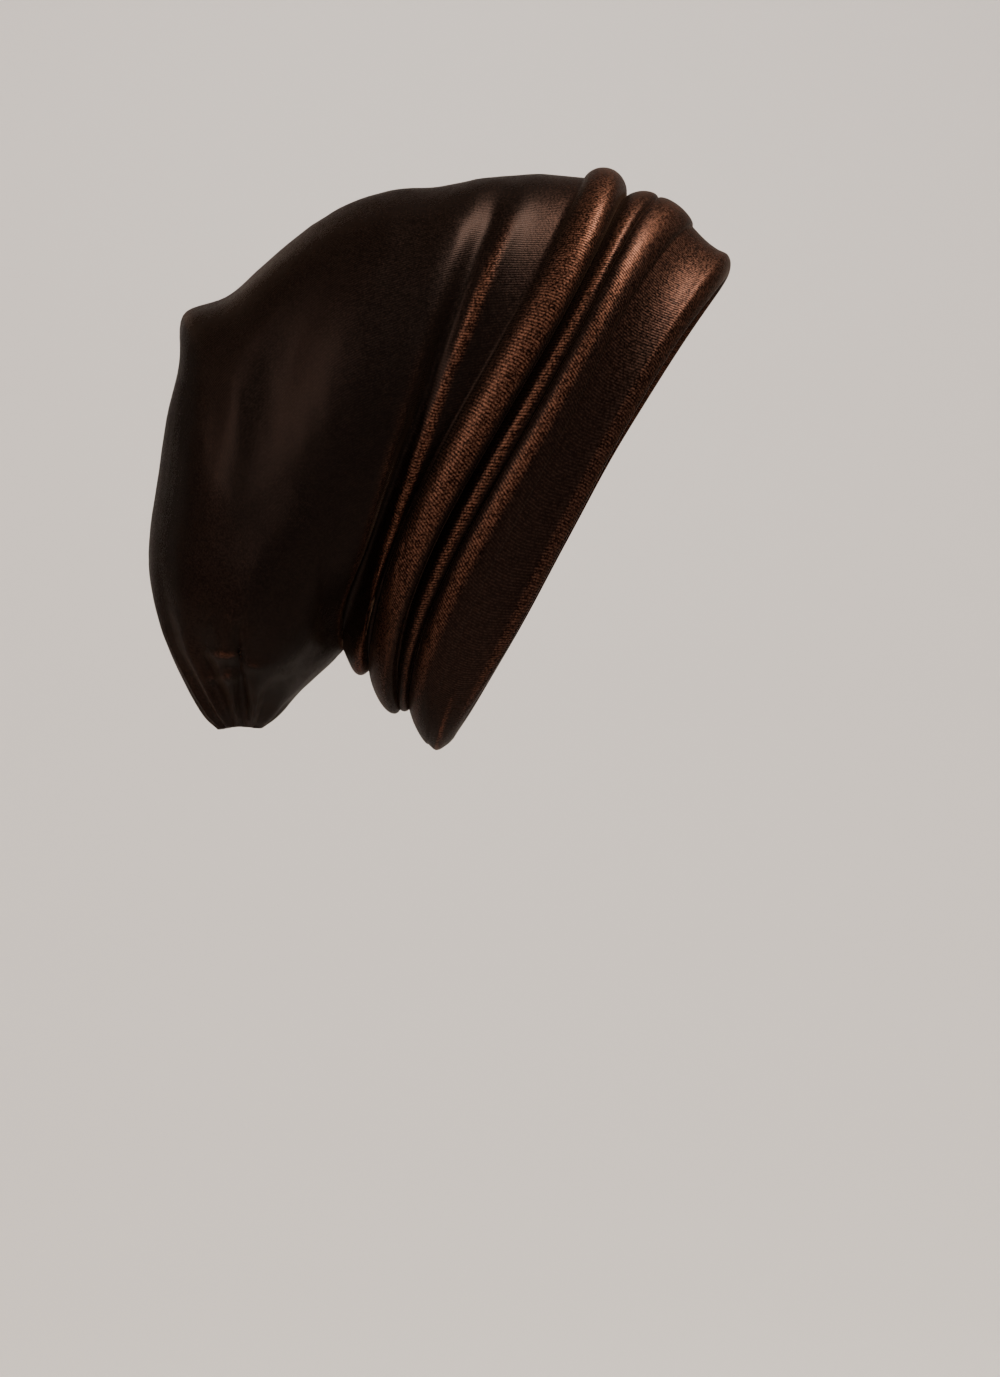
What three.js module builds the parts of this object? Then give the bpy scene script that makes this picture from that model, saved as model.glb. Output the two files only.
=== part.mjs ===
// Slouchy beanie of ribbed stretch velvet, in the form that it has when worn.
// A smooth band goes round the face, four soft folds are pushed up behind it, and the rest of
// the cloth hangs back as a pouch that is drawn together in a puckered tip.
// Millimetres. +X is the way the wearer faces, +Y is the wearer's left and +Z is up.
// The origin is the centre of the rim.

import * as THREE from "three";

// Thickness of the velvet.
const WALL = 1.4;
// Slit between the back edge of the band and the front edge of the crown.
const SEAM_SLIT = 0.5;
// Flat facets round every section.
const FACETS_AROUND = 44;
// How much squarer than an ellipse the sections are.
const SQUARENESS = 0.05;
// Fullness of the folds: 1 is a half ellipse, less is squarer.
const FOLD_FULLNESS = 1.1;
// Puckers round the drawn-in tip.
const TIP_PUCKERS = 11;
// Sideways lean of the hanging pouch towards the wearer's right, at its tip.
const POUCH_LEAN = 7;
// Depth of the drapes on the wearer's left, as a share of those on the right.
const LEFT_DRAPE = 0.75;

// Section rings from the turned-in hem to the tip, one row each.
// crest: 1 for the top of a fold, which stands up from the rings before and after it.
// steps: facets from this ring to the next.
// top and nape: where the ring crosses the middle plane, above and below.
// half: half of its width at its widest point.
// bow and sag: how far back from, and down along, the straight line from top to nape that point is.
// swing: how far the upper flank swings forward and the lower flank back.
// lean: how far the upper flank alone leans forward.
// pucker: depth of the tip's puckers as a share of the ring.
const RING_COLUMNS = [
  "ring", "crest", "steps", "topX", "topZ", "napeX", "napeZ", "half", "bow", "sag", "swing", "lean", "pucker",
];
const RING_ROWS = [
  ["hem_edge", 0, 1, 49.6, 105.8, -53.5, -86.5, 71.2, 9, 0, -1, 0, 0],
  ["hem_inside", 0, 1, 55.0, 99.1, -52.0, -91.5, 70.6, 5, 0, -2, 0, 0],
  ["under_lip", 0, 1, 60.1, 94.9, -53.0, -96.0, 72.0, 3, 0, -2, 0, 0],
  ["lip", 0, 1, 62.2, 100.0, -55.4, -99.0, 75.0, 2.6, 0, -2, 0, 0],
  ["rim_ridge", 0, 1, 60.9, 104.6, -57.8, -100.8, 77.5, 4, 0, -2, 0, 0],
  ["band_front", 0, 1, 56.7, 107.0, -59.8, -102.0, 77.2, 5.2, 0, -0.5, -2, 0],
  ["band_middle", 0, 2, 52.1, 110.7, -61.8, -102.0, 78.8, 5, 0, 2, -7, 0],
  ["seam", 0, 3, 46.6, 116.4, -64.4, -99.6, 81.2, 3.6, 0, 5, -11.5, 0],
  ["fold_1", 1, 3, 41.4, 124.6, -69.8, -91.8, 83.6, 3, 0, 7, -12.5, 0],
  ["dip_1", 0, 2, 32.0, 128.0, -71.8, -82.5, 78.5, 1.4, 0, 6.6, -9.5, 0],
  ["fold_2", 1, 2, 25.4, 130.8, -74.0, -85.6, 82.4, 2.4, 0, 7, -6.3, 0],
  ["dip_2", 0, 3, 18.0, 127.5, -76.5, -83.6, 76.5, 5.4, 0, 6.8, -5, 0],
  ["fold_3", 1, 3, 12.8, 139.2, -83.2, -83.4, 87.0, 2, 0, 6.4, 0, 0],
  ["dip_3", 0, 2, 1.0, 136.0, -88.6, -67.5, 79.5, 4, 1, 4, 0, 0],
  ["fold_4", 0, 2, -17.6, 137.2, -94.0, -69.3, 82.5, 1.5, 2, 1, 0, 0],
  ["dip_4", 0, 3, -28.1, 136.4, -99.6, -57.5, 80.5, -1, 4, 0, 0, 0],
  ["pouch_edge", 0, 2, -41.0, 135.4, -101.6, -59.6, 88.0, -1.5, 7, -0.7, 0, 0],
  ["pouch_1", 0, 2, -59.6, 132.4, -102.6, -60.8, 90.0, 0, 12, 0, 0, 0],
  ["pouch_2", 0, 2, -76.4, 131.0, -103.6, -61.8, 91.0, 1, 16, 0, 0, 0],
  ["pouch_3", 0, 2, -97.1, 124.0, -104.8, -63.2, 91.0, 0, 18, 0, 0, 0],
  ["pouch_4", 0, 2, -117.4, 111.4, -106.1, -64.6, 90.5, -2, 20, 0, 0, 0],
  ["pouch_5", 0, 2, -141.5, 90.0, -107.8, -66.4, 89.5, -3.5, 20, 0, 0, 0],
  ["shoulder", 0, 2, -158.4, 72.9, -109.8, -68.4, 88.0, -5, 19, 0, 0, 0],
  ["back_1", 0, 2, -169.5, 46.2, -112.4, -71.0, 86.5, -5, 16, 0, 0, 0],
  ["back_2", 0, 2, -175.2, 13.0, -115.9, -74.6, 83.0, -5, 11, 0, 0, 0],
  ["back_3", 0, 1, -179.4, -24.8, -120.0, -78.9, 75.0, -6, 4, 0, 0, 0.01],
  ["base_1", 0, 1, -175.3, -51.0, -123.5, -82.5, 63.0, -6, 0, 0, 0, 0.03],
  ["base_2", 0, 1, -166.8, -72.2, -127.0, -86.3, 47.0, -5, 0, 0, 0, 0.06],
  ["base_3", 0, 1, -157.9, -87.4, -130.8, -90.0, 29.0, -3, 0, 0, 0, 0.09],
  ["tip_ring", 0, 1, -151.2, -93.6, -134.8, -93.0, 13.0, -1, 0, 0, 0, 0.12],
];
const named = (columns) => (row) => Object.fromEntries(row.map((value, i) => [columns[i], value]));
const RINGS = RING_ROWS.map(named(RING_COLUMNS));
const ringIndex = (name) => RINGS.findIndex((row) => row.ring === name);

// Where the puckers of the tip meet, drawn up a little into the pouch.
const TIP_POLE = { x: -143, z: -91 };

// A soft corner that stands out at the back of the crown, over the shoulder ring.
// out: how far it stands out, backX and upZ: which way, reach: its length in knots, turn: its angle round.
const CORNER = { out: 10.5, backX: -0.8, upZ: 0.6, reach: 2, turn: 0.5 };

// Soft drapes down the flanks of the pouch, one row each.
// A curve from start by way of bend to end, seen from the side; rise is out of the cloth, or in if less than 0.
const DRAPE_COLUMNS = ["drape", "startX", "startZ", "bendX", "bendZ", "endX", "endZ", "rise", "width"];
const DRAPES = [
  ["shoulder_valley", -98, 95, -121, 62, -131, 10, -5, 13],
  ["shoulder_ridge", -124, 80, -139, 47, -143, 0, 3, 11],
  ["corner_hollow", -148, 50, -143, 36, -145, 12, -3, 7],
  ["lower_ridge", -112, -12, -128, -35, -137, -60, 3, 10],
  ["under_crease", -164, -46, -153, -68, -139, -84, -2.5, 8],
].map(named(DRAPE_COLUMNS));

// Knots along the cloth, from the mean distance between neighbouring rings.
const KNOTS = [0];
for (let i = 1; i < RINGS.length; i += 1) {
  const [a, b] = [RINGS[i - 1], RINGS[i]];
  const top = Math.hypot(b.topX - a.topX, b.topZ - a.topZ);
  const nape = Math.hypot(b.napeX - a.napeX, b.napeZ - a.napeZ);
  KNOTS.push(KNOTS[i - 1] + Math.sqrt((top + nape) / 2 + Math.abs(b.half - a.half)));
}

// A column over a fold: a full round from the ring before the crest to the ring after it.
function overFold(column, crest, share) {
  const [a, c, b] = [RINGS[crest - 1][column], RINGS[crest][column], RINGS[crest + 1][column]];
  const turn = Math.cos(Math.PI * share);
  const along = (1 - Math.sign(turn) * Math.abs(turn) ** FOLD_FULLNESS) / 2;
  const up = Math.max(Math.sin(Math.PI * share), 0) ** FOLD_FULLNESS;
  return a + (b - a) * along + (c - (a + b) / 2) * up;
}

// A column of the ring table as a smooth function of the place along the cloth.
function columnAt(column, place) {
  const last = RINGS.length - 1;
  let i = 0;
  while (i < last - 1 && place > KNOTS[i + 1]) {
    i += 1;
  }
  const span = KNOTS[i + 1] - KNOTS[i];
  const t = (place - KNOTS[i]) / span;
  if (RINGS[i + 1].crest) {
    return overFold(column, i + 1, t / 2);
  }
  if (RINGS[i].crest) {
    return overFold(column, i, 0.5 + t / 2);
  }
  const slope = (k) => {
    const next = k < last && !RINGS[k + 1].crest ? k + 1 : k;
    const before = k > 0 && !RINGS[k - 1].crest ? k - 1 : k;
    return (RINGS[next][column] - RINGS[before][column]) / (KNOTS[next] - KNOTS[before]);
  };
  const rise = RINGS[i + 1][column] - RINGS[i][column];
  const a = slope(i) * span - rise;
  const b = rise - slope(i + 1) * span;
  return RINGS[i][column] + t * rise + t * (1 - t) * (a * (1 - t) + b * t);
}

// Distance from a point, seen from the side, to a drape's curve.
function drapeDistance(drape, x, z) {
  let nearest = Infinity;
  for (let k = 0; k <= 16; k += 1) {
    const t = k / 16;
    const [p, q, r] = [(1 - t) * (1 - t), 2 * t * (1 - t), t * t];
    const dx = p * drape.startX + q * drape.bendX + r * drape.endX - x;
    const dz = p * drape.startZ + q * drape.bendZ + r * drape.endZ - z;
    nearest = Math.min(nearest, Math.hypot(dx, dz));
  }
  return nearest;
}

// A point of the cloth's outer face. Angle 0 is the top, half a turn is the nape.
function clothPoint(place, angle) {
  const at = (column) => columnAt(column, place);
  const across = { x: (at("topX") - at("napeX")) / 2, z: (at("topZ") - at("napeZ")) / 2 };
  const middle = { x: (at("topX") + at("napeX")) / 2, z: (at("topZ") + at("napeZ")) / 2 };
  const reach = Math.hypot(across.x, across.z);
  const along = { x: across.x / reach, z: across.z / reach };
  const bow = {
    x: (at("bow") * along.z + at("sag") * along.x) / 2,
    z: (-at("bow") * along.x + at("sag") * along.z) / 2,
  };
  const turn = Math.cos(angle);
  const twice = Math.cos(2 * angle);
  const upper = 3 * Math.sin(angle) ** 2 * ((1 + turn) / 2) ** 3;
  const shift = at("swing") * (turn - Math.cos(3 * angle)) * 0.7 + at("lean") * upper;
  const gather = 1 + at("pucker") * Math.cos(TIP_PUCKERS * angle);
  const wide = (Math.sin(angle) + SQUARENESS * Math.sin(3 * angle)) / (1 - SQUARENESS);
  const hang = Math.min(Math.max((place - KNOTS[ringIndex("pouch_1")]) / 30, 0), 1);
  const fromCorner = (place - KNOTS[ringIndex("shoulder")]) / CORNER.reach;
  const fromTop = Math.atan2(Math.sin(angle), turn) / CORNER.turn;
  const corner = CORNER.out * Math.exp(-fromCorner * fromCorner - fromTop * fromTop);
  const x = middle.x - bow.x + (across.x * turn + bow.x * twice) * gather + shift + corner * CORNER.backX;
  const z = middle.z - bow.z + (across.z * turn + bow.z * twice) * gather + corner * CORNER.upZ;
  let flank = at("half") * wide * gather;
  for (const drape of DRAPES) {
    const share = Math.exp(-((drapeDistance(drape, x, z) / drape.width) ** 2)) * wide ** 3;
    flank += drape.rise * share * (wide > 0 ? LEFT_DRAPE : 1);
  }
  return new THREE.Vector3(x, flank - POUCH_LEAN * hang * hang, z);
}

// Places of the section rings of one piece, from its first ring to its last.
function places(first, last) {
  const list = [];
  for (let i = first; i < last; i += 1) {
    for (let k = 0; k < RINGS[i].steps; k += 1) {
      list.push(KNOTS[i] + ((KNOTS[i + 1] - KNOTS[i]) * k) / RINGS[i].steps);
    }
  }
  list.push(KNOTS[last]);
  return list;
}

// The way out of the cloth at a point of a grid, from the facets that meet there.
function wayOut(grid, i, j) {
  const n = FACETS_AROUND;
  const sum = new THREE.Vector3();
  for (const [a, b] of [[-1, -1], [-1, 0], [0, -1], [0, 0]]) {
    if (grid[i + a] && grid[i + a + 1]) {
      const corner = (k, l) => grid[i + a + k][(j + b + l + n) % n];
      const one = corner(1, 1).clone().sub(corner(0, 0));
      const other = corner(1, 0).clone().sub(corner(0, 1));
      sum.add(one.cross(other).normalize());
    }
  }
  return sum.normalize();
}

// A closed wall of cloth through the given places, open at its first ring.
// It is open at its last ring too, or else drawn together in the tip.
function clothWall(list, tip) {
  const n = FACETS_AROUND;
  const rows = list.length;
  const outer = list.map((place) =>
    Array.from({ length: n }, (_, j) => clothPoint(place, (2 * Math.PI * j) / n)));
  const points = outer.flat();
  const faces = [];
  for (let i = 0; i < rows; i += 1) {
    for (let j = 0; j < n; j += 1) {
      points.push(outer[i][j].clone().addScaledVector(wayOut(outer, i, j), -WALL));
    }
  }
  const at = (layer, i, j) => (layer * rows + i) * n + (j % n);
  const quad = (a, b, c, d) => faces.push([a, b, c], [a, c, d]);
  for (let j = 0; j < n; j += 1) {
    for (let i = 0; i + 1 < rows; i += 1) {
      quad(at(0, i, j), at(0, i, j + 1), at(0, i + 1, j + 1), at(0, i + 1, j));
      quad(at(1, i, j), at(1, i + 1, j), at(1, i + 1, j + 1), at(1, i, j + 1));
    }
    quad(at(0, 0, j), at(1, 0, j), at(1, 0, j + 1), at(0, 0, j + 1));
  }
  const end = rows - 1;
  if (tip) {
    const under = points.push(new THREE.Vector3(TIP_POLE.x, -POUCH_LEAN, TIP_POLE.z)) - 1;
    const above = points.push(new THREE.Vector3(TIP_POLE.x, -POUCH_LEAN, TIP_POLE.z + WALL)) - 1;
    for (let j = 0; j < n; j += 1) {
      faces.push([at(0, end, j), at(0, end, j + 1), under]);
      faces.push([at(1, end, j + 1), at(1, end, j), above]);
    }
  } else {
    for (let j = 0; j < n; j += 1) {
      quad(at(0, end, j), at(0, end, j + 1), at(1, end, j + 1), at(1, end, j));
    }
  }
  const geometry = new THREE.BufferGeometry();
  geometry.setAttribute("position", new THREE.Float32BufferAttribute(points.flatMap((p) => p.toArray()), 3));
  geometry.setIndex(faces.flat());
  geometry.computeVertexNormals();
  return geometry;
}

const VELVET = { color: 0x2a1a12, roughness: 0.85, metalness: 0 };

function piece(name, geometry) {
  const mesh = new THREE.Mesh(geometry, new THREE.MeshStandardMaterial(VELVET));
  mesh.name = name;
  return mesh;
}

// Half of the slit, as a distance in knots on each side of the seam.
const seam = ringIndex("seam");
const slitBefore = (SEAM_SLIT / 2) * ((KNOTS[seam] - KNOTS[seam - 1]) / 9);
const slitAfter = (SEAM_SLIT / 2) * ((KNOTS[seam + 1] - KNOTS[seam]) / 9);

const bandPlaces = places(0, seam);
bandPlaces[bandPlaces.length - 1] -= slitBefore;
const crownPlaces = places(seam, RINGS.length - 1);
crownPlaces[0] += slitAfter;

const beanie = new THREE.Group();
beanie.name = "slouchy_beanie";
beanie.add(piece("face_band", clothWall(bandPlaces, false)));
beanie.add(piece("crown", clothWall(crownPlaces, true)));

export default beanie;
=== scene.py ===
import math

import bpy
import numpy as np
from bpy.props import FloatProperty, FloatVectorProperty, IntProperty, PointerProperty
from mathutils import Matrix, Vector


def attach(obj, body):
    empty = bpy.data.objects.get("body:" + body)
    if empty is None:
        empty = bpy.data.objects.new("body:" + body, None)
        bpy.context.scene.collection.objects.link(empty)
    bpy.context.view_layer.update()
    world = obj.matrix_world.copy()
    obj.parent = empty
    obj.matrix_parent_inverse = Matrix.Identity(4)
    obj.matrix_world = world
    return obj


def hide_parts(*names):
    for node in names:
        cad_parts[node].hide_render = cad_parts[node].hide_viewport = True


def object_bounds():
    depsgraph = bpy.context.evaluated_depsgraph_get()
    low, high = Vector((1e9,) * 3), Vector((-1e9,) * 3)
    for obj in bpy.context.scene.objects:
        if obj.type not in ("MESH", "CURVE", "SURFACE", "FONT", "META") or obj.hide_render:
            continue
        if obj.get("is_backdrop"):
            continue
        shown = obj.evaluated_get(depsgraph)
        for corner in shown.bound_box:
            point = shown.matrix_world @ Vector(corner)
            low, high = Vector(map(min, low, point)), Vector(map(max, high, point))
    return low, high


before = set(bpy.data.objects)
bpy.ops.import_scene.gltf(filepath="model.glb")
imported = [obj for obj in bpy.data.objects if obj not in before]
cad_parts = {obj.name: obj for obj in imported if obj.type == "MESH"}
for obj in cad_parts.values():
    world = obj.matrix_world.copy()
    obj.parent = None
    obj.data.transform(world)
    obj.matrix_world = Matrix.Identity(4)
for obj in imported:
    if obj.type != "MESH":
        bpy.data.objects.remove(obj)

bl_info = {
    "name": "Slouchy beanie",
    "version": (1, 0, 0),
    "blender": (4, 5, 0),
    "location": "View3D > Sidebar > Beanie",
    "description": "Builds a worn slouchy beanie of ribbed stretch velvet on a plain stage",
    "category": "Object",
}

MM = 0.001
# Smallest length that a sum is divided by.
TINY = 1e-12

# Bend of the cloth, per metre, where the painted highlight on a crest starts, and where it is brightest.
# The bend is smoothed along the cloth this many times.
BEND_LOW, BEND_HIGH = 50.0, 170.0
BEND_PASSES = 3
# Share of the painted crest highlight that stays at the rim, and share that is lost on taut cloth that faces
# up.
CREST_AT_RIM, CREST_LOST = 0.35, 0.75
# Strip of painted highlight on each fold, as shares of the way over it from front to back.
STRIP_COLUMNS = ("fold", "start", "full", "fade", "end")
STRIP_ROWS = (
    ("fold_1", 0.34, 0.46, 0.54, 0.7),
    ("fold_2", 0.34, 0.46, 0.54, 0.68),
    ("fold_3", 0.34, 0.46, 0.66, 0.95),
)
# Share of a painted highlight strip that stays where its fold faces down, and how far up the cloth faces,
# from -1 to 1, where the strip's painted highlight starts and where it is brightest.
STRIP_BELOW, STRIP_LOW, STRIP_HIGH = 0.4, -0.65, 0.1
# Painted highlight where the cloth faces the light: the way, forward, to either side and up, and the shares
# of it where the painted highlight starts and where it is brightest.
HIGHLIGHT_WAY = (0.55, 0.15, 0.82)
HIGHLIGHT_LOW, HIGHLIGHT_HIGH = 0.15, 0.95
# How far back the slack cloth faces, from -1 to 1, where its painted highlight starts and is brightest.
BACK_LOW, BACK_HIGH = -0.1, 0.5
# Painted highlight and tone of the pile, 0 to 1. up: painted highlight where it faces the light. taut: more
# of that on taut cloth. rest: an even lift on all taut cloth. back: painted highlight on slack cloth that
# faces back. tip: painted reflection of the floor on the underside near the tip.
HIGHLIGHT_AND_TONE = {"up": 0.08, "taut": 0.36, "rest": 0.11, "back": 0.07, "tip": 0.1}

# Section rings of the cloth from the turned-in hem to the tip, in millimetres.
# crest: 1 for the top of a fold, which stands up from the rings before and after it.
# steps: facets to the next ring. top and nape: where the ring crosses the middle plane.
# half: half of its width. bow and sag: how far back from, and down along, the line from top to nape
# its widest point is. swing: how far the upper flank swings forward and the lower flank back.
# lean: how far the upper flank alone leans forward.
# pucker: depth of the tip's puckers as a share of the ring.
RING_COLUMNS = (
    "ring", "crest", "steps", "topX", "topZ", "napeX", "napeZ", "half",
    "bow", "sag", "swing", "lean", "pucker",
)
RING_ROWS = (
    ("hem_edge", 0, 5, 49.6, 105.8, -53.5, -86.5, 71.2, 9, 0, -1, 0, 0),
    ("hem_inside", 0, 5, 55.0, 99.1, -52.0, -91.5, 70.6, 5, 0, -2, 0, 0),
    ("under_lip", 0, 5, 60.1, 94.9, -53.0, -96.0, 72.0, 3, 0, -2, 0, 0),
    ("lip", 0, 5, 62.2, 100.0, -55.4, -99.0, 75.0, 2.6, 0, -2, 0, 0),
    ("rim_ridge", 0, 5, 60.9, 104.6, -57.8, -100.8, 77.5, 4, 0, -2, 0, 0),
    ("band_front", 0, 6, 56.7, 107.0, -59.8, -102.0, 77.2, 5.2, 0, -0.5, -2, 0),
    ("band_middle", 0, 12, 52.1, 110.7, -61.8, -102.0, 78.8, 5, 0, 2, -7, 0),
    ("seam", 0, 9, 46.6, 116.4, -64.4, -99.6, 81.2, 3.6, 0, 5, -11.5, 0),
    ("fold_1", 1, 9, 41.4, 124.6, -69.8, -91.8, 83.6, 3, 0, 7, -12.5, 0),
    ("dip_1", 0, 7, 32.0, 128.0, -71.8, -82.5, 78.5, 1.4, 0, 6.6, -9.5, 0),
    ("fold_2", 1, 7, 25.4, 130.8, -74.0, -85.6, 82.4, 2.4, 0, 7, -6.3, 0),
    ("dip_2", 0, 10, 18.0, 127.5, -76.5, -83.6, 76.5, 5.4, 0, 6.8, -5, 0),
    ("fold_3", 1, 10, 12.8, 139.2, -83.2, -83.4, 87.0, 2, 0, 6.4, 0, 0),
    ("dip_3", 0, 9, 1.0, 136.0, -88.6, -67.5, 79.5, 4, 1, 4, 0, 0),
    ("fold_4", 0, 9, -17.6, 137.2, -94.0, -69.3, 82.5, 1.5, 2, 1, 0, 0),
    ("dip_4", 0, 9, -28.1, 136.4, -99.6, -57.5, 80.5, -1, 4, 0, 0, 0),
    ("pouch_edge", 0, 6, -41.0, 135.4, -101.6, -59.6, 88.0, -1.5, 7, -0.7, 0, 0),
    ("pouch_1", 0, 6, -59.6, 132.4, -102.6, -60.8, 90.0, 0, 12, 0, 0, 0),
    ("pouch_2", 0, 7, -76.4, 131.0, -103.6, -61.8, 91.0, 1, 16, 0, 0, 0),
    ("pouch_3", 0, 7, -97.1, 124.0, -104.8, -63.2, 91.0, 0, 18, 0, 0, 0),
    ("pouch_4", 0, 10, -117.4, 111.4, -106.1, -64.6, 90.5, -2, 20, 0, 0, 0),
    ("pouch_5", 0, 10, -141.5, 90.0, -107.8, -66.4, 89.5, -3.5, 20, 0, 0, 0),
    ("shoulder", 0, 10, -158.4, 72.9, -109.8, -68.4, 88.0, -5, 19, 0, 0, 0),
    ("back_1", 0, 7, -169.5, 46.2, -112.4, -71.0, 86.5, -5, 16, 0, 0, 0),
    ("back_2", 0, 7, -175.2, 13.0, -115.9, -74.6, 83.0, -5, 11, 0, 0, 0),
    ("back_3", 0, 14, -179.4, -24.8, -120.0, -78.9, 75.0, -6, 4, 0, 0, 0.01),
    ("base_1", 0, 16, -175.3, -51.0, -123.5, -82.5, 63.0, -6, 0, 0, 0, 0.03),
    ("base_2", 0, 12, -166.8, -72.2, -127.0, -86.3, 47.0, -5, 0, 0, 0, 0.06),
    ("base_3", 0, 7, -157.9, -87.4, -130.8, -90.0, 29.0, -3, 0, 0, 0, 0.09),
    ("tip_ring", 0, 1, -151.2, -93.6, -134.8, -93.0, 13.0, -1, 0, 0, 0, 0.12),
)
# Middle of the tip, X and Z in millimetres, and the number of puckers round it.
TIP_POLE = (-143.0, -91.0)
TIP_PUCKERS = 11
# How square the rings are: 0 is an ellipse. How full the folds are: 1 is half an ellipse, and less is fuller.
SQUARENESS = 0.05
FOLD_FULLNESS = 1.05
# Bring the curves of swing and lean to about 1 where they are largest.
SWING_SCALE, LEAN_SCALE = 0.7, 3.0
# How far the pouch leans to the wearer's right, in millimetres, and the way in knots over which it does so.
POUCH_LEAN, LEAN_KNOTS = 7.0, 30.0
# Way in knots over which the taut cloth goes slack, and height of the waves of the taut cloth in metres.
SLACK_KNOTS, TAUT_WAVE = 6.0, 0.0002
# Random waves of the cloth: seed, number, shortest and longest wave in metres, and how much closer together
# they lie along X, Y and Z.
SOFT_WAVES = {"seed": 3, "count": 14, "short": 0.045, "long": 0.12, "squeeze": (1.6, 1, 0.7)}
WRINKLES = {"seed": 4, "count": 24, "short": 0.008, "long": 0.02, "squeeze": (1.6, 1, 0.6)}
# A soft corner that stands out at the back of the crown, over the shoulder ring.
# out: how far, in millimetres. backX and upZ: which way. reach: its length in knots. turn: its angle round.
CORNER = {"out": 10.5, "backX": -0.8, "upZ": 0.6, "reach": 2.0, "turn": 0.5}

# Drapes and creases down the flanks, seen from the side, in millimetres.
# A curve from start by way of bend to end. rise is out of the cloth, or in if less than 0.
# left: share of the rise on the wearer's left.
# spread: 3 for a drape of the flank alone, 1 for one that runs on under it.
DRAPE_COLUMNS = (
    "drape", "startX", "startZ", "bendX", "bendZ", "endX", "endZ", "rise", "width", "left", "spread",
)
DRAPE_ROWS = (
    ("shoulder_valley", -98, 95, -121, 62, -131, 10, -5, 13, 0.75, 3),
    ("shoulder_ridge", -124, 80, -139, 47, -143, 0, 3, 11, 0.75, 3),
    ("corner_hollow", -148, 50, -143, 36, -145, 12, -3, 7, 0.75, 3),
    ("lower_ridge", -112, -12, -128, -35, -137, -60, 3, 10, 0.75, 3),
    ("under_crease", -164, -46, -153, -68, -139, -84, -2.5, 8, 0.75, 2),
    ("crown_streak", -21, 128, -36, 92, -50, 55, 3.0, 4.6, 0.6, 3),
    ("fine_ridge", -73, -14, -76, -30, -80, -44, 1.8, 2.2, 0.0, 1),
    ("tip_seam", -134, -52, -137, -68, -138, -92, -3.4, 2.0, 0.0, 1),
    ("tip_pucker_1", -137, -62, -141, -64, -149, -62, 2.6, 2.3, 0.0, 1),
    ("tip_pucker_2", -138, -70, -143, -73, -150, -73, 2.8, 2.3, 0.0, 1),
    ("tip_pucker_3", -135, -66, -129, -68, -122, -65, 1.6, 2.4, 0.0, 1),
)

# A drape fades like half a wave that is cut off a little at both ends and raised to a power.
DRAPE_CUT, DRAPE_POWER = 0.08, 0.6
DRAPE_STEPS = 33

# The UV map in metres: mean radius of the rings, and way from the last ring to the middle of the tip.
UV_RADIUS, UV_TIP = 0.088, 0.008

# The velvet's patterns. Each range holds the low and high end of a value, and what the two become.
# grain: lightness of the pile's grain. groove: lightness of the ribs. depth: how much both of them show,
# from the painted highlight and tone. rough: where in the grain the roughness changes, and by how much.
# shade: the least share of its colour that the pile keeps.
GRAIN_SCALE = 1150.0
GRAIN_RANGE = (0.38, 0.64, 0.3, 1.75)
GROOVE_RANGE = (0.0, 1.0, 0.4, 1.4)
DEPTH_RANGE = (0.0, 0.3, 0.35, 1.05)
ROUGH_LOW, ROUGH_HIGH, ROUGH_CHANGE = 0.3, 0.7, 0.08
SHADE_LEAST = 0.08
# A wave pattern of scale 1 runs through this many radians in a metre.
WAVE_RADIANS = 20.0
# Strength of the relief of the grain and of the ribs, on the pile and on the back, and their heights.
PILE_RELIEF, BACK_RELIEF = (0.5, 0.3), (0.25, 0.2)
GRAIN_HEIGHT, RIB_HEIGHT = 0.00015, 0.00012
BACK_ROUGHNESS, BACK_SHEEN = 0.9, 0.15

# Stitches of the hem: sizes in metres, way in from the hem's edge in knots, and points of their line.
STITCH_SIZES = {"Spacing": 0.0036, "Length": 0.0026, "Thickness": 0.0007}
STITCH_SEED = 5
STITCH_IN, STITCH_POINTS = 0.35, 240

# The round floor that runs up into a wall: radius and height of its rings in metres, and points on each.
FLOOR_RADIUS = (0.4, 0.9, 1.4, 1.8, 2.2, 2.6, 2.9, 3.1, 3.2, 3.25)
FLOOR_HEIGHT = (0.0, 0.0, 0.02, 0.10, 0.28, 0.62, 1.10, 1.75, 2.5, 3.4)
FLOOR_POINTS = 96
# Round lights: where they stand and what they point at, in metres, and their diameter, power and colour.
LIGHT_COLUMNS = ("name", "place", "target", "size", "power", "colour")
LIGHT_ROWS = (
    ("key", (0.62, -0.42, 1.45), (-0.06, 0.0, 0.02), 0.5, 62.0, (1.0, 0.91, 0.8)),
    ("side", (-1.1, -1.05, 0.8), (-0.06, 0.0, 0.02), 0.4, 12.0, (1.0, 0.92, 0.83)),
    ("wash", (0.0, 1.2, 1.9), (0.0, 3.2, 0.4), 1.2, 28.0, (1.0, 0.97, 0.95)),
)
# Longer side of the camera's sensor in millimetres.
SENSOR = 36.0


def rows(columns, table):
    """Rows of a table, each with its values under their columns' names."""
    return [dict(zip(columns, row)) for row in table]


RINGS = rows(RING_COLUMNS, RING_ROWS)
DRAPES = rows(DRAPE_COLUMNS, DRAPE_ROWS)
STRIPS = rows(STRIP_COLUMNS, STRIP_ROWS)
RING_AT = {row["ring"]: i for i, row in enumerate(RINGS)}


def knots():
    """Places of the rings along the cloth: each step is the root of the mean distance in millimetres."""
    places = [0.0]
    for a, b in zip(RINGS, RINGS[1:]):
        top = math.hypot(b["topX"] - a["topX"], b["topZ"] - a["topZ"])
        nape = math.hypot(b["napeX"] - a["napeX"], b["napeZ"] - a["napeZ"])
        places.append(places[-1] + math.sqrt((top + nape) / 2 + abs(b["half"] - a["half"])))
    return places


KNOTS = knots()


def knot(ring):
    """Place of a ring along the cloth."""
    return KNOTS[RING_AT[ring]]


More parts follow.
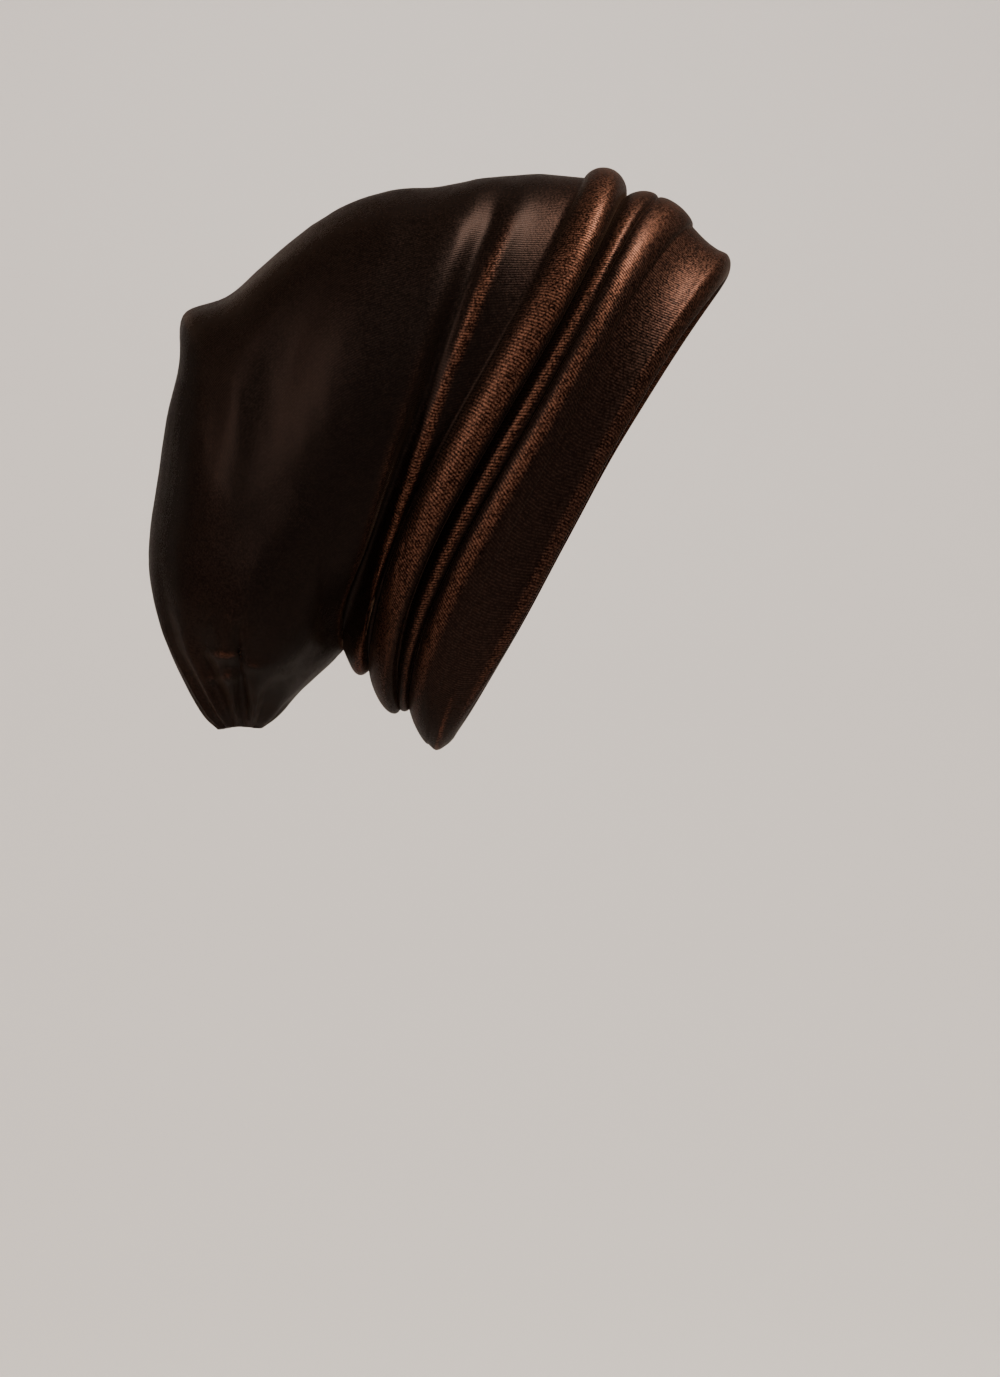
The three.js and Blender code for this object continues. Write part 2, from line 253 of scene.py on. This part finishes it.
def over_fold(column, crest, share):
    """A column over a fold: a full round from the ring before the crest to the ring after it."""
    a, c, b = (RINGS[crest + k][column] for k in (-1, 0, 1))
    turn = math.cos(math.pi * share)
    along = (1 - math.copysign(abs(turn) ** FOLD_FULLNESS, turn)) / 2
    up = max(math.sin(math.pi * share), 0.0) ** FOLD_FULLNESS
    return a + (b - a) * along + (c - (a + b) / 2) * up


def column_at(column, place):
    """A column of the ring table as a smooth function of the place along the cloth."""
    last = len(RINGS) - 1
    i = 0
    while i < last - 1 and place > KNOTS[i + 1]:
        i += 1
    span = KNOTS[i + 1] - KNOTS[i]
    t = (place - KNOTS[i]) / span
    if RINGS[i + 1]["crest"]:
        return over_fold(column, i + 1, t / 2)
    if RINGS[i]["crest"]:
        return over_fold(column, i, 0.5 + t / 2)

    def slope(k):
        after = k + 1 if k < last and not RINGS[k + 1]["crest"] else k
        before = k - 1 if k > 0 and not RINGS[k - 1]["crest"] else k
        return (RINGS[after][column] - RINGS[before][column]) / (KNOTS[after] - KNOTS[before])

    rise = RINGS[i + 1][column] - RINGS[i][column]
    a = slope(i) * span - rise
    b = rise - slope(i + 1) * span
    return RINGS[i][column] + t * rise + t * (1 - t) * (a * (1 - t) + b * t)


def ring_places(first, last):
    """Places of the section rings of one piece, from its first ring to its last."""
    places = []
    for i in range(first, last):
        steps = RINGS[i]["steps"]
        places += [KNOTS[i] + (KNOTS[i + 1] - KNOTS[i]) * k / steps for k in range(steps)]
    return places + [KNOTS[last]]


def drape_share(drape, x, z):
    """How far points, seen from the side, follow a drape: 1 on its curve, and it fades at both ends."""
    share = np.zeros(x.shape)
    for t in np.linspace(0.0, 1.0, DRAPE_STEPS):
        p, q, r = (1 - t) ** 2, 2 * t * (1 - t), t * t
        dx = p * drape["startX"] + q * drape["bendX"] + r * drape["endX"] - x
        dz = p * drape["startZ"] + q * drape["bendZ"] + r * drape["endZ"] - z
        near = np.exp(-(dx**2 + dz**2) / drape["width"] ** 2)
        fade = math.sin(math.pi * (DRAPE_CUT + (1 - 2 * DRAPE_CUT) * t)) ** DRAPE_POWER
        share = np.maximum(share, near * fade)
    return share


def cloth_grid(places, around):
    """Outer face of the cloth in metres: an array of rings by points by three."""
    angle = np.linspace(0.0, 2 * np.pi, around, endpoint=False)[None, :]
    at = {c: np.array([column_at(c, p) for p in places])[:, None] for c in RING_COLUMNS[3:]}
    ax, az = (at["topX"] - at["napeX"]) / 2, (at["topZ"] - at["napeZ"]) / 2
    mx, mz = (at["topX"] + at["napeX"]) / 2, (at["topZ"] + at["napeZ"]) / 2
    reach = np.hypot(ax, az)
    ux, uz = ax / reach, az / reach
    bx = (at["bow"] * uz + at["sag"] * ux) / 2
    bz = (-at["bow"] * ux + at["sag"] * uz) / 2
    turn, twice = np.cos(angle), np.cos(2 * angle)
    upper = LEAN_SCALE * np.sin(angle) ** 2 * ((1 + turn) / 2) ** 3
    shift = at["swing"] * (turn - np.cos(3 * angle)) * SWING_SCALE + at["lean"] * upper
    gather = 1 + at["pucker"] * np.cos(TIP_PUCKERS * angle)
    wide = (np.sin(angle) + SQUARENESS * np.sin(3 * angle)) / (1 - SQUARENESS)
    from_corner = (np.array(places)[:, None] - knot("shoulder")) / CORNER["reach"]
    from_top = np.arctan2(np.sin(angle), turn) / CORNER["turn"]
    corner = CORNER["out"] * np.exp(-(from_corner**2) - from_top**2)
    x = mx - bx + (ax * turn + bx * twice) * gather + shift + corner * CORNER["backX"]
    z = mz - bz + (az * turn + bz * twice) * gather + corner * CORNER["upZ"]
    flank = at["half"] * wide * gather
    for drape in DRAPES:
        share = drape_share(drape, x, z) * np.sign(wide) * np.abs(wide) ** drape["spread"]
        flank = flank + drape["rise"] * share * np.where(wide > 0, drape["left"], 1.0)
    hang = np.clip((np.array(places) - knot("pouch_1")) / LEAN_KNOTS, 0, 1)[:, None] ** 2
    y = flank - POUCH_LEAN * hang
    return np.stack([x, y, z], axis=2) * MM


def grid_normals(grid):
    """The way out of the cloth at every point of a grid that closes round."""
    round_way = np.roll(grid, -1, axis=1) - np.roll(grid, 1, axis=1)
    along = np.gradient(grid, axis=0)
    n = np.cross(round_way, along)
    return n / np.maximum(np.linalg.norm(n, axis=2, keepdims=True), TINY)


def waves(points, seed, count, short, long, squeeze):
    """A smooth random field of mean 0: sine waves of mixed lengths and ways, in metres."""
    rng = np.random.default_rng(seed)
    field = np.zeros(points.shape[:-1])
    for _ in range(count):
        way = rng.normal(size=3) * np.array(squeeze)
        way /= np.linalg.norm(way)
        length = short * (long / short) ** rng.random()
        field += np.sin(points @ way * (2 * np.pi / length) + rng.random() * 2 * np.pi)
    return field / math.sqrt(count / 2)


def smooth_step(low, high, value):
    """0 up to the low end, 1 from the high end on, and a smooth rise between them."""
    t = np.clip((value - low) / (high - low), 0, 1)
    return t * t * (3 - 2 * t)


def cloth_bend(grid, out):
    """Bend of the cloth along its length, per metre, smoothed a few times."""
    along = np.gradient(grid, axis=0)
    bend = np.sum(np.gradient(out, axis=0) * along, axis=2) / np.maximum(np.sum(along**2, axis=2), TINY)
    for _ in range(BEND_PASSES):
        bend[1:-1] = (bend[:-2] + 2 * bend[1:-1] + bend[2:]) / 4
    return bend


def painted_highlight_and_tone_field(grid, out, place):
    """Painted highlight and tone of the pile, 0 to 1: painted highlight and floor reflection, and a lift on
    taut cloth.
    """
    in_folds = (place > knot("band_middle")) & (place < knot("dip_3"))
    # Painted highlight along bent crests, held off the folds, which get painted highlight strips instead.
    crest = np.where(in_folds, 0, smooth_step(BEND_LOW, BEND_HIGH, cloth_bend(grid, out)))
    above = STRIP_BELOW + (1 - STRIP_BELOW) * smooth_step(STRIP_LOW, STRIP_HIGH, out[..., 2])
    for strip in STRIPS:
        fold = RING_AT[strip["fold"]]
        over = np.interp(place, KNOTS[fold - 1 : fold + 2], (0, 0.5, 1))
        rise = smooth_step(strip["start"], strip["full"], over)
        fall = smooth_step(strip["fade"], strip["end"], over)
        crest = crest + rise * (1 - fall) * above
    # Painted highlight where the cloth faces the light.
    forward, aside, upward = HIGHLIGHT_WAY
    facing = forward * out[..., 0] + aside * np.abs(out[..., 1]) + upward * out[..., 2]
    up = smooth_step(HIGHLIGHT_LOW, HIGHLIGHT_HIGH, facing)
    rim = smooth_step(knot("band_front"), knot("band_middle"), place)
    # Painted reflection of the floor on the underside near the tip.
    under = smooth_step(knot("back_3"), knot("base_2"), place)
    taut = 1 - smooth_step(knot("fold_3"), knot("fold_4"), place)
    # Painted highlight on slack cloth that faces back, and an even lift on all taut cloth.
    back = smooth_step(BACK_LOW, BACK_HIGH, -out[..., 0])
    rest = HIGHLIGHT_AND_TONE["rest"] * taut + HIGHLIGHT_AND_TONE["back"] * (1 - taut) * back + HIGHLIGHT_AND_TONE["tip"] * under
    lit = crest * (1 - CREST_LOST * up * taut) * (CREST_AT_RIM + (1 - CREST_AT_RIM) * rim)
    return np.clip(up * (HIGHLIGHT_AND_TONE["up"] + HIGHLIGHT_AND_TONE["taut"] * taut) + lit + rest, 0, 1)


def whole_cloth(shape):
    """Outer face of the whole hat, its way out, its painted highlight and tone, and the row of the seam."""
    before = ring_places(0, RING_AT["seam"])
    places = before + ring_places(RING_AT["seam"], len(RINGS) - 1)[1:]
    grid = cloth_grid(places, shape.around)
    slack = np.clip((np.array(places) - knot("dip_3")) / SLACK_KNOTS, 0, 1)[:, None]
    soft = waves(grid, **SOFT_WAVES)
    small = waves(grid, **WRINKLES)
    lift = soft * (TAUT_WAVE + shape.soft_wave * slack) + small * shape.wrinkle * slack
    grid = grid + grid_normals(grid) * lift[..., None]
    out = grid_normals(grid)
    return grid, out, painted_highlight_and_tone_field(grid, out, np.array(places)[:, None]), len(before) - 1


def cloth_mesh(name, grid, out, painted_highlight_and_tone, wall, pole):
    """A closed wall of cloth from its outer face: outer and inner layer, hem edges and tip."""
    n, m = grid.shape[:2]
    inner = grid - out * wall
    verts = np.concatenate([grid.reshape(-1, 3), inner.reshape(-1, 3)])
    i, j = np.meshgrid(np.arange(n - 1), np.arange(m), indexing="ij")
    k = (j + 1) % m
    a, b, c, d = i * m + j, i * m + k, (i + 1) * m + k, (i + 1) * m + j
    outer_quads = np.stack([a, b, c, d], axis=2).reshape(-1, 4)
    inner_quads = outer_quads[:, ::-1] + n * m
    j = np.arange(m)
    k = (j + 1) % m
    first = np.stack([j, j + n * m, k + n * m, k], axis=1)
    faces = outer_quads.tolist() + inner_quads.tolist() + first.tolist()
    layers = [0] * len(outer_quads) + [1] * len(inner_quads) + [0] * m
    o = (n - 1) * m
    if pole is None:
        last = np.stack([o + j, o + k, o + k + n * m, o + j + n * m], axis=1)
        faces += last.tolist()
        layers += [0] * m
    else:
        under, above = len(verts), len(verts) + 1
        verts = np.concatenate([verts, [pole, (pole[0], pole[1], pole[2] + wall)]])
        faces += [[o + p, o + q, under] for p, q in zip(j.tolist(), k.tolist())]
        faces += [[o + q + n * m, o + p + n * m, above] for p, q in zip(j.tolist(), k.tolist())]
        layers += [0] * m + [1] * m
    mesh = bpy.data.meshes.new(name)
    mesh.from_pydata(verts.tolist(), [], faces)
    mesh.polygons.foreach_set("use_smooth", [True] * len(faces))
    mesh.polygons.foreach_set("material_index", layers)
    add_cloth_uv(mesh, grid, n, m)
    mesh.update()
    if mesh.validate(verbose=False):
        raise RuntimeError(f"{name} has faces that are not sound")
    lies = np.zeros(len(verts), dtype=np.float32)
    lies[: n * m] = painted_highlight_and_tone.ravel()
    # The pile's painted highlight and tone, kept on each point for its material.
    mesh.attributes.new("painted_highlight_and_tone", "FLOAT", "POINT").data.foreach_set("value", lies)
    facing = np.concatenate([out.reshape(-1, 3), -out.reshape(-1, 3)])
    if pole is not None:
        facing = np.concatenate([facing, [(0, 0, -1), (0, 0, 1)]])
    mesh.normals_split_custom_set_from_vertices(facing.tolist())
    return mesh


def add_cloth_uv(mesh, grid, n, m):
    """A UV map in metres: U round the head, V along the cloth."""
    step = np.linalg.norm(np.diff(grid, axis=0), axis=2).mean(axis=1)
    length = np.concatenate([[0.0], np.cumsum(step)])
    loops = np.empty(len(mesh.loops), dtype=np.int64)
    mesh.loops.foreach_get("vertex_index", loops)
    local = loops % (n * m)
    is_pole = loops >= 2 * n * m
    row, column = local // m, local % m
    u = column.astype(float)
    starts = np.empty(len(mesh.polygons), dtype=np.int64)
    totals = np.empty(len(mesh.polygons), dtype=np.int64)
    mesh.polygons.foreach_get("loop_start", starts)
    mesh.polygons.foreach_get("loop_total", totals)
    face = np.repeat(np.arange(len(starts)), totals)
    high = np.zeros(len(starts))
    np.maximum.at(high, face, np.where(is_pole, 0, u))
    wraps = (high[face] == m - 1) & (u == 0)
    u = np.where(wraps, m, u)
    u = np.where(is_pole, high[face], u)
    v = np.where(is_pole, length[-1] + UV_TIP, length[row])
    uv = mesh.uv_layers.new(name="cloth")
    flat = np.stack([u / m * 2 * np.pi * UV_RADIUS, v], axis=1)
    uv.data.foreach_set("uv", flat.astype(np.float32).ravel())


def new_object(name, mesh, materials):
    """An object in the scene with its mesh and materials."""
    obj = bpy.data.objects.new(name, mesh)
    bpy.context.scene.collection.objects.link(obj)
    for material in materials:
        mesh.materials.append(material)
    return obj


def fill(tree, node, inputs):
    """Link each input of a node to a socket, or set it to a plain value."""
    for key, value in inputs.items():
        if isinstance(value, bpy.types.NodeSocket):
            tree.links.new(value, node.inputs[key])
        else:
            node.inputs[key].default_value = value


def add_node(tree, kind, inputs, **settings):
    """A new node of a tree with its settings and inputs."""
    node = tree.nodes.new(kind)
    for key, value in settings.items():
        setattr(node, key, value)
    fill(tree, node, inputs)
    return node


def map_range(tree, value, low, high, least, most):
    """A value from low to high, turned into one from least to most and held between them."""
    ends = {"From Min": low, "From Max": high, "To Min": least, "To Max": most}
    return add_node(tree, "ShaderNodeMapRange", {"Value": value, **ends}).outputs["Result"]


def math_node(tree, operation, *values):
    """A result worked out from sockets and plain values."""
    return add_node(tree, "ShaderNodeMath", dict(enumerate(values)), operation=operation).outputs[0]


def new_material(name):
    """A material with its node tree and its shader."""
    material = bpy.data.materials.new(name)
    material.use_nodes = True
    return material, material.node_tree, material.node_tree.nodes["Principled BSDF"]


def velvet(name, look, back):
    """Ribbed stretch velvet. The pile side has fine ribs and sparkle; the back is matt."""
    material, tree, shader = new_material(name)
    if back:
        dark = light = look.back_colour
        roughness, gloss, sheen = BACK_ROUGHNESS, 0.0, BACK_SHEEN
        grain_relief, rib_relief = BACK_RELIEF
    else:
        dark, light = look.pile_colour, look.highlight_colour
        roughness, gloss, sheen = look.roughness, look.gloss, look.sheen
        grain_relief, rib_relief = PILE_RELIEF

    uv = add_node(tree, "ShaderNodeUVMap", {}, uv_map="cloth").outputs["UV"]
    place = add_node(tree, "ShaderNodeTexCoord", {}).outputs["Object"]
    # Painted highlight and tone of the pile: it mixes the pile's colour toward the highlight colour and sets
    # how much grain shows.
    painted_highlight_and_tone = add_node(tree, "ShaderNodeAttribute", {}, attribute_name="painted_highlight_and_tone").outputs["Fac"]
    rib_scale = 2 * math.pi / (WAVE_RADIANS * look.rib_spacing)
    ribs = add_node(
        tree, "ShaderNodeTexWave", {"Vector": uv, "Scale": rib_scale, "Distortion": 0.6, "Detail": 1.0}
    ).outputs["Fac"]
    grain = add_node(
        tree, "ShaderNodeTexNoise", {"Vector": place, "Scale": GRAIN_SCALE, "Detail": 1.0, "Roughness": 0.6}
    ).outputs["Fac"]

    pattern = math_node(
        tree, "MULTIPLY", map_range(tree, grain, *GRAIN_RANGE), map_range(tree, ribs, *GROOVE_RANGE))
    change = math_node(tree, "SUBTRACT", pattern, 1.0)
    scale = math_node(tree, "MULTIPLY_ADD", change, map_range(tree, painted_highlight_and_tone, *DEPTH_RANGE), 1.0)
    colour = add_node(
        tree, "ShaderNodeMix", {"Factor": painted_highlight_and_tone, "A": (*dark, 1.0), "B": (*light, 1.0)}, data_type="RGBA"
    ).outputs["Result"]
    shade = add_node(
        tree, "ShaderNodeVectorMath",
        {0: colour, "Scale": math_node(tree, "MAXIMUM", scale, SHADE_LEAST)}, operation="SCALE")
    rough_ends = (roughness - ROUGH_CHANGE, roughness + ROUGH_CHANGE)
    fine = add_node(
        tree, "ShaderNodeBump", {"Strength": grain_relief, "Distance": GRAIN_HEIGHT, "Height": grain})
    ridge = add_node(
        tree, "ShaderNodeBump",
        {"Strength": rib_relief, "Distance": RIB_HEIGHT, "Height": ribs, "Normal": fine.outputs["Normal"]})
    fill(tree, shader, {
        "Base Color": shade.outputs[0],
        "Roughness": map_range(tree, grain, ROUGH_LOW, ROUGH_HIGH, *rough_ends),
        "Normal": ridge.outputs["Normal"],
        "Metallic": gloss,
        "Specular IOR Level": 0.25,
        "Specular Tint": (*[look.edge_tint] * 3, 1.0),
        "Sheen Weight": sheen,
        "Sheen Roughness": 0.45,
        "Sheen Tint": (*look.sheen_colour, 1.0),
    })
    return material


def thread(name, colour):
    """Twisted sewing thread."""
    material, tree, shader = new_material(name)
    place = add_node(tree, "ShaderNodeTexCoord", {}).outputs["Object"]
    twist = add_node(tree, "ShaderNodeTexNoise", {"Scale": 5000.0, "Vector": place})
    bump = add_node(
        tree, "ShaderNodeBump", {"Strength": 0.4, "Distance": 0.0001, "Height": twist.outputs["Fac"]})
    fill(tree, shader, {
        "Base Color": (*colour, 1.0),
        "Roughness": 0.6,
        "Sheen Weight": 0.3,
        "Normal": bump.outputs["Normal"],
    })
    return material


def stitch_tree():
    """Geometry nodes that lay stitches along a curve."""
    tree = bpy.data.node_groups.new("beanie_stitches", "GeometryNodeTree")
    face = tree.interface
    face.new_socket("Geometry", in_out="INPUT", socket_type="NodeSocketGeometry")
    for name, value in STITCH_SIZES.items():
        face.new_socket(name, in_out="INPUT", socket_type="NodeSocketFloat").default_value = value
    face.new_socket("Seed", in_out="INPUT", socket_type="NodeSocketInt").default_value = STITCH_SEED
    face.new_socket("Material", in_out="INPUT", socket_type="NodeSocketMaterial")
    face.new_socket("Geometry", in_out="OUTPUT", socket_type="NodeSocketGeometry")
    given = tree.nodes.new("NodeGroupInput").outputs
    points = add_node(
        tree, "GeometryNodeCurveToPoints",
        {"Curve": given["Geometry"], "Length": given["Spacing"]}, mode="LENGTH")
    ball = add_node(tree, "GeometryNodeMeshUVSphere", {"Segments": 10, "Rings": 6, "Radius": 0.5})
    size = add_node(
        tree, "ShaderNodeCombineXYZ",
        {"X": given["Thickness"], "Y": given["Thickness"], "Z": given["Length"]})
    shaped = add_node(
        tree, "GeometryNodeTransform",
        {"Geometry": ball.outputs["Mesh"], "Scale": size.outputs["Vector"]})
    vary = add_node(
        tree, "FunctionNodeRandomValue",
        {"Min": 0.85, "Max": 1.15, "Seed": given["Seed"]}, data_type="FLOAT")
    lay = add_node(tree, "GeometryNodeInstanceOnPoints", {
        "Points": points.outputs["Points"],
        "Instance": shaped.outputs["Geometry"],
        "Rotation": points.outputs["Rotation"],
        "Scale": vary.outputs["Value"],
    })
    real = add_node(tree, "GeometryNodeRealizeInstances", {"Geometry": lay.outputs["Instances"]})
    paint = add_node(
        tree, "GeometryNodeSetMaterial",
        {"Geometry": real.outputs["Geometry"], "Material": given["Material"]})
    add_node(tree, "NodeGroupOutput", {"Geometry": paint.outputs["Geometry"]})
    return tree


def stitches(name, points, material):
    """A plain mesh of stitches round a closed line of points."""
    curve = bpy.data.curves.new(name, "CURVE")
    curve.dimensions = "3D"
    spline = curve.splines.new("POLY")
    spline.points.add(len(points) - 1)
    spline.points.foreach_set("co", [c for p in points for c in (*p, 1.0)])
    spline.use_cyclic_u = True
    path = bpy.data.objects.new(name + "_path", curve)
    bpy.context.scene.collection.objects.link(path)
    modifier = path.modifiers.new("stitches", "NODES")
    modifier.node_group = bpy.data.node_groups.get("beanie_stitches") or stitch_tree()
    sockets = {s.name: s.identifier for s in modifier.node_group.interface.items_tree if s.in_out == "INPUT"}
    for key, value in {**STITCH_SIZES, "Seed": STITCH_SEED, "Material": material}.items():
        modifier[sockets[key]] = value
    shown = path.evaluated_get(bpy.context.evaluated_depsgraph_get())
    mesh = bpy.data.meshes.new_from_object(shown)
    mesh.name = name
    bpy.data.objects.remove(path)
    if not mesh.polygons:
        raise RuntimeError(f"{name} has no stitches")
    mesh.materials.clear()
    mesh.polygons.foreach_set("use_smooth", [True] * len(mesh.polygons))
    return new_object(name, mesh, [material])


def floor_mesh(ground):
    """A round floor that runs up into a wall."""
    turns = np.linspace(0, 2 * np.pi, FLOOR_POINTS, endpoint=False)
    verts = [(0.0, 0.0, ground)]
    for radius, height in zip(FLOOR_RADIUS, FLOOR_HEIGHT):
        verts += [(radius * math.cos(t), radius * math.sin(t), ground + height) for t in turns]
    faces = [(0, 1 + k, 1 + (k + 1) % FLOOR_POINTS) for k in range(FLOOR_POINTS)]
    for ring in range(len(FLOOR_RADIUS) - 1):
        a = 1 + ring * FLOOR_POINTS
        b = a + FLOOR_POINTS
        for k in range(FLOOR_POINTS):
            after = (k + 1) % FLOOR_POINTS
            faces.append((a + k, b + k, b + after, a + after))
    mesh = bpy.data.meshes.new("floor")
    mesh.from_pydata(verts, [], faces)
    mesh.polygons.foreach_set("use_smooth", [True] * len(faces))
    return mesh


def add_light(scene, light):
    """A round light from a row of the table, turned to what it points at."""
    data = bpy.data.lights.new(light["name"], "AREA")
    data.shape = "DISK"
    data.size = light["size"]
    data.energy = light["power"]
    data.color = light["colour"]
    lamp = bpy.data.objects.new(light["name"], data)
    lamp.location = light["place"]
    aim = Vector(light["target"]) - Vector(light["place"])
    lamp.rotation_mode = "QUATERNION"
    lamp.rotation_quaternion = aim.to_track_quat("-Z", "Y")
    scene.collection.objects.link(lamp)


def add_camera(scene, setting):
    """A camera that looks along Y at the wearer's right side."""
    data = bpy.data.cameras.new("camera")
    data.sensor_width = SENSOR
    data.lens = SENSOR * setting.camera_away / setting.view_height
    camera = bpy.data.objects.new("camera", data)
    camera.location = (setting.camera_x, -setting.camera_away, setting.camera_z)
    camera.rotation_euler = (math.pi / 2, 0.0, 0.0)
    scene.collection.objects.link(camera)
    scene.camera = camera


class BeanieShape(bpy.types.PropertyGroup):
    wall: FloatProperty(name="Wall", description="Thickness of the velvet", default=0.0014, unit="LENGTH")
    around: IntProperty(name="Around", description="Points round every ring of the cloth", default=232)
    soft_wave: FloatProperty(
        name="Soft wave", description="Height of the slow waves of the slack cloth",
        default=0.0004, unit="LENGTH")
    wrinkle: FloatProperty(
        name="Wrinkle", description="Height of the small wrinkles of the slack cloth",
        default=0.00005, unit="LENGTH")


class BeanieVelvet(bpy.types.PropertyGroup):
    pile_colour: FloatVectorProperty(
        name="Pile", description="Colour of the pile",
        subtype="COLOR", default=(0.0079, 0.0052, 0.0044))
    # Highlight colour, painted on the pile where it is bent over folds or faces the light.
    highlight_colour: FloatVectorProperty(
        name="Nap", description="Colour of the pile where it lies light",
        subtype="COLOR", default=(0.052, 0.0218, 0.0136))
    back_colour: FloatVectorProperty(
        name="Back", description="Colour of the velvet's back",
        subtype="COLOR", default=(0.035, 0.019, 0.012))
    sheen_colour: FloatVectorProperty(
        name="Sheen colour", description="Colour of the soft edge light",
        subtype="COLOR", default=(0.95, 0.55, 0.36))
    thread_colour: FloatVectorProperty(
        name="Thread", description="Colour of the sewing thread",
        subtype="COLOR", default=(0.05, 0.025, 0.016))
    roughness: FloatProperty(
        name="Roughness", description="Roughness of the pile", subtype="FACTOR", default=0.45)
    gloss: FloatProperty(
        name="Gloss", description="How much of the light the pile throws back in its own colour",
        subtype="FACTOR", default=0.85)
    edge_tint: FloatProperty(
        name="Edge tint", description="Brightness of the pile where it is seen from the side",
        subtype="FACTOR", default=0.27)
    sheen: FloatProperty(
        name="Sheen", description="Strength of the soft edge light", subtype="FACTOR", default=0.02)
    rib_spacing: FloatProperty(
        name="Rib spacing", description="Distance between the fine ribs", default=0.001, unit="LENGTH")


class BeanieStage(bpy.types.PropertyGroup):
    floor_below: FloatProperty(
        name="Floor below", description="Distance from the lowest point to the floor",
        default=0.6, unit="LENGTH")
    camera_away: FloatProperty(
        name="Camera away", description="Distance of the camera from the middle plane",
        default=1.0, unit="LENGTH")
    camera_x: FloatProperty(
        name="Camera X", description="Place of the camera along X", default=-0.0344, unit="LENGTH")
    camera_z: FloatProperty(
        name="Camera Z", description="Height of the camera", default=-0.0764, unit="LENGTH")
    view_height: FloatProperty(
        name="View height", description="Height that the picture shows", default=0.57834, unit="LENGTH")
    floor_colour: FloatVectorProperty(
        name="Floor", description="Colour of the floor", subtype="COLOR", default=(0.86, 0.82, 0.79))
    air_colour: FloatVectorProperty(
        name="Air", description="Colour of the light from all sides",
        subtype="COLOR", default=(0.80, 0.76, 0.73))
    air_light: FloatProperty(
        name="Air light", description="Strength of the light from all sides", default=0.12)


class BEANIE_OT_band(bpy.types.Operator):
    """Build the smooth band round the face with its rolled hem"""

    bl_idname = "beanie.band"
    bl_label = "Face band"

    def execute(self, context):
        shape, look = context.scene.beanie_shape, context.scene.beanie_velvet
        grid, out, painted_highlight_and_tone, seam = whole_cloth(shape)
        end = seam + 1
        mesh = cloth_mesh("band_cloth", grid[:end], out[:end], painted_highlight_and_tone[:end], shape.wall, None)
        pile = velvet("band_pile", look, False)
        band = new_object("band_cloth", mesh, [pile, velvet("band_back", look, True)])
        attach(band, "root")
        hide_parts("face_band")
        edge = cloth_grid([KNOTS[0] + STITCH_IN], STITCH_POINTS)[0]
        sewn = stitches("hem_stitches", edge.tolist(), thread("hem_thread", look.thread_colour))
        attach(sewn, "root")
        return {"FINISHED"}


class BEANIE_OT_crown(bpy.types.Operator):
    """Build the ruched folds and the hanging pouch with its seamed tip"""

    bl_idname = "beanie.crown"
    bl_label = "Crown"

    def execute(self, context):
        shape, look = context.scene.beanie_shape, context.scene.beanie_velvet
        grid, out, painted_highlight_and_tone, seam = whole_cloth(shape)
        pole = (TIP_POLE[0] * MM, -POUCH_LEAN * MM, TIP_POLE[1] * MM)
        mesh = cloth_mesh("crown_cloth", grid[seam:], out[seam:], painted_highlight_and_tone[seam:], shape.wall, pole)
        pile = velvet("crown_pile", look, False)
        crown = new_object("crown_cloth", mesh, [pile, velvet("crown_back", look, True)])
        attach(crown, "root")
        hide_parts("crown")
        return {"FINISHED"}


class BEANIE_OT_stage(bpy.types.Operator):
    """Lay the pale floor, the soft studio light and the camera"""

    bl_idname = "beanie.stage"
    bl_label = "Stage"

    def execute(self, context):
        setting = context.scene.beanie_stage
        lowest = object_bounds()[0][2]
        paint, tree, shader = new_material("floor")
        fill(tree, shader, {"Base Color": (*setting.floor_colour, 1.0), "Roughness": 0.9})
        floor = new_object("floor", floor_mesh(lowest - setting.floor_below), [paint])
        floor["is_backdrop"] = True

        world = bpy.data.worlds.new("studio")
        world.use_nodes = True
        air = {"Color": (*setting.air_colour, 1.0), "Strength": setting.air_light}
        fill(world.node_tree, world.node_tree.nodes["Background"], air)
        context.scene.world = world
        for light in rows(LIGHT_COLUMNS, LIGHT_ROWS):
            add_light(context.scene, light)
        add_camera(context.scene, setting)
        return {"FINISHED"}


class BEANIE_PT_panel(bpy.types.Panel):
    bl_label = "Slouchy beanie"
    bl_idname = "BEANIE_PT_panel"
    bl_space_type = "VIEW_3D"
    bl_region_type = "UI"
    bl_category = "Beanie"

    def draw(self, context):
        scene = context.scene
        for group in (scene.beanie_shape, scene.beanie_velvet, scene.beanie_stage):
            box = self.layout.box()
            for key in group.__annotations__:
                box.prop(group, key)
        for operator in (BEANIE_OT_band, BEANIE_OT_crown, BEANIE_OT_stage):
            self.layout.operator(operator.bl_idname)


CLASSES = (
    BeanieShape, BeanieVelvet, BeanieStage, BEANIE_OT_band, BEANIE_OT_crown, BEANIE_OT_stage, BEANIE_PT_panel,
)


def register():
    for cls in CLASSES:
        bpy.utils.register_class(cls)
    bpy.types.Scene.beanie_shape = PointerProperty(type=BeanieShape)
    bpy.types.Scene.beanie_velvet = PointerProperty(type=BeanieVelvet)
    bpy.types.Scene.beanie_stage = PointerProperty(type=BeanieStage)


def unregister():
    del bpy.types.Scene.beanie_stage
    del bpy.types.Scene.beanie_velvet
    del bpy.types.Scene.beanie_shape
    for cls in reversed(CLASSES):
        bpy.utils.unregister_class(cls)


def main():
    register()
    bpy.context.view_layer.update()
    for build in (bpy.ops.beanie.band, bpy.ops.beanie.crown, bpy.ops.beanie.stage):
        if build() != {"FINISHED"}:
            raise RuntimeError("a step of the beanie did not finish")


if __name__ == "__main__":
    main()
